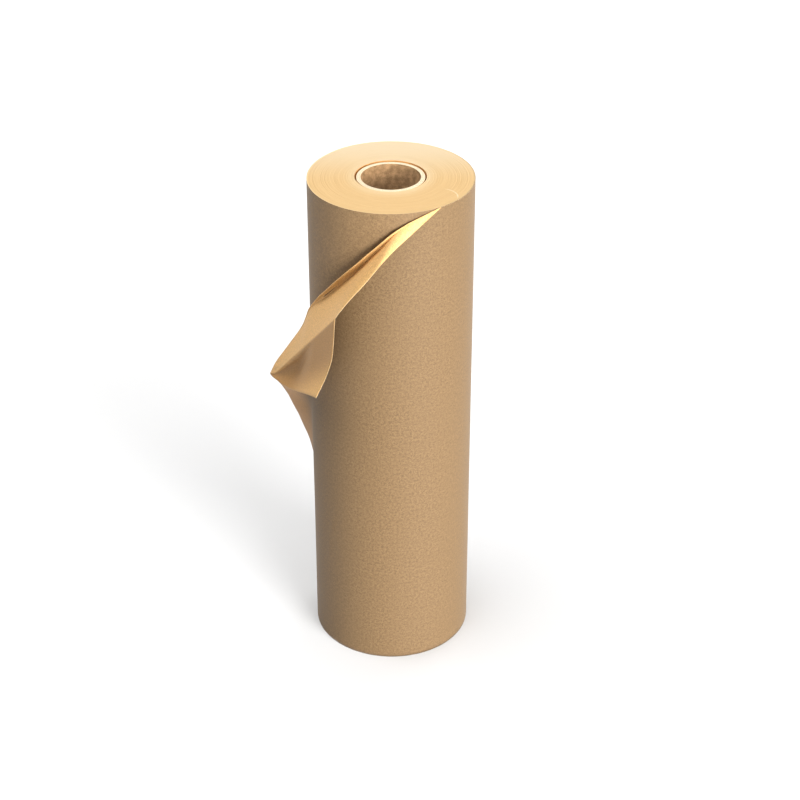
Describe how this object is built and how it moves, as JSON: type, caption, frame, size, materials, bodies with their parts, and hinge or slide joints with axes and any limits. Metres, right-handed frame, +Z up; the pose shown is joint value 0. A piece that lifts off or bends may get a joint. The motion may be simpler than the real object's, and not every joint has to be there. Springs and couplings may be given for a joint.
{
  "type": "wrapping paper roll",
  "caption": "Upright roll of plain brown wrapping paper on a cardboard core, its loose outer corner folded over and hanging at the front.",
  "frame": {"origin": "centre of the core's bore, on the end face that the roll stands on", "axes": "+Z up along the roll's axis to the open end, -Y to the front where the folded corner hangs, +X to the right seen from the front"},
  "size_m": [0.1771, 0.1793, 0.45],
  "materials": {
    "core_liner": "matt, spiral seams",
    "core_board": "matt cut edge",
    "core_cover": "matt",
    "wound_paper": "matt, fine cut edges of many turns",
    "outer_paper": "matt, faint machine stripes and fibre flecks",
    "loose_paper": "matt, lets a little light through",
    "turned_paper": "matt inner face",
    "tip_paper": "matt inner face"
  },
  "bodies": {
    "roll": {"core_liner_ply": "core_liner", "core_body_ply": "core_board", "core_cover_ply": "core_cover", "wound_paper": "wound_paper", "outer_turn": "outer_paper", "loose_end": "loose_paper"},
    "corner": {"turned_corner": "turned_paper"},
    "tip": {"corner_tip": "tip_paper"}
  },
  "joints": [
    {"name": "corner_fold", "type": "hinge", "parent": "roll", "child": "corner", "pos_m": [-0.04988, -0.03618, 0.35575], "axis": [-0.427, 0.4194, -0.8011], "range_deg": [-3, 25], "stiffness_Nm_per_rad": 0.2},
    {"name": "tip_crease", "type": "hinge", "parent": "corner", "child": "tip", "pos_m": [-0.044, -0.112, 0.379], "axis": [-0.3212, 0.674, -0.6653], "range_deg": [-20, 30], "stiffness_Nm_per_rad": 0.1}
  ]
}
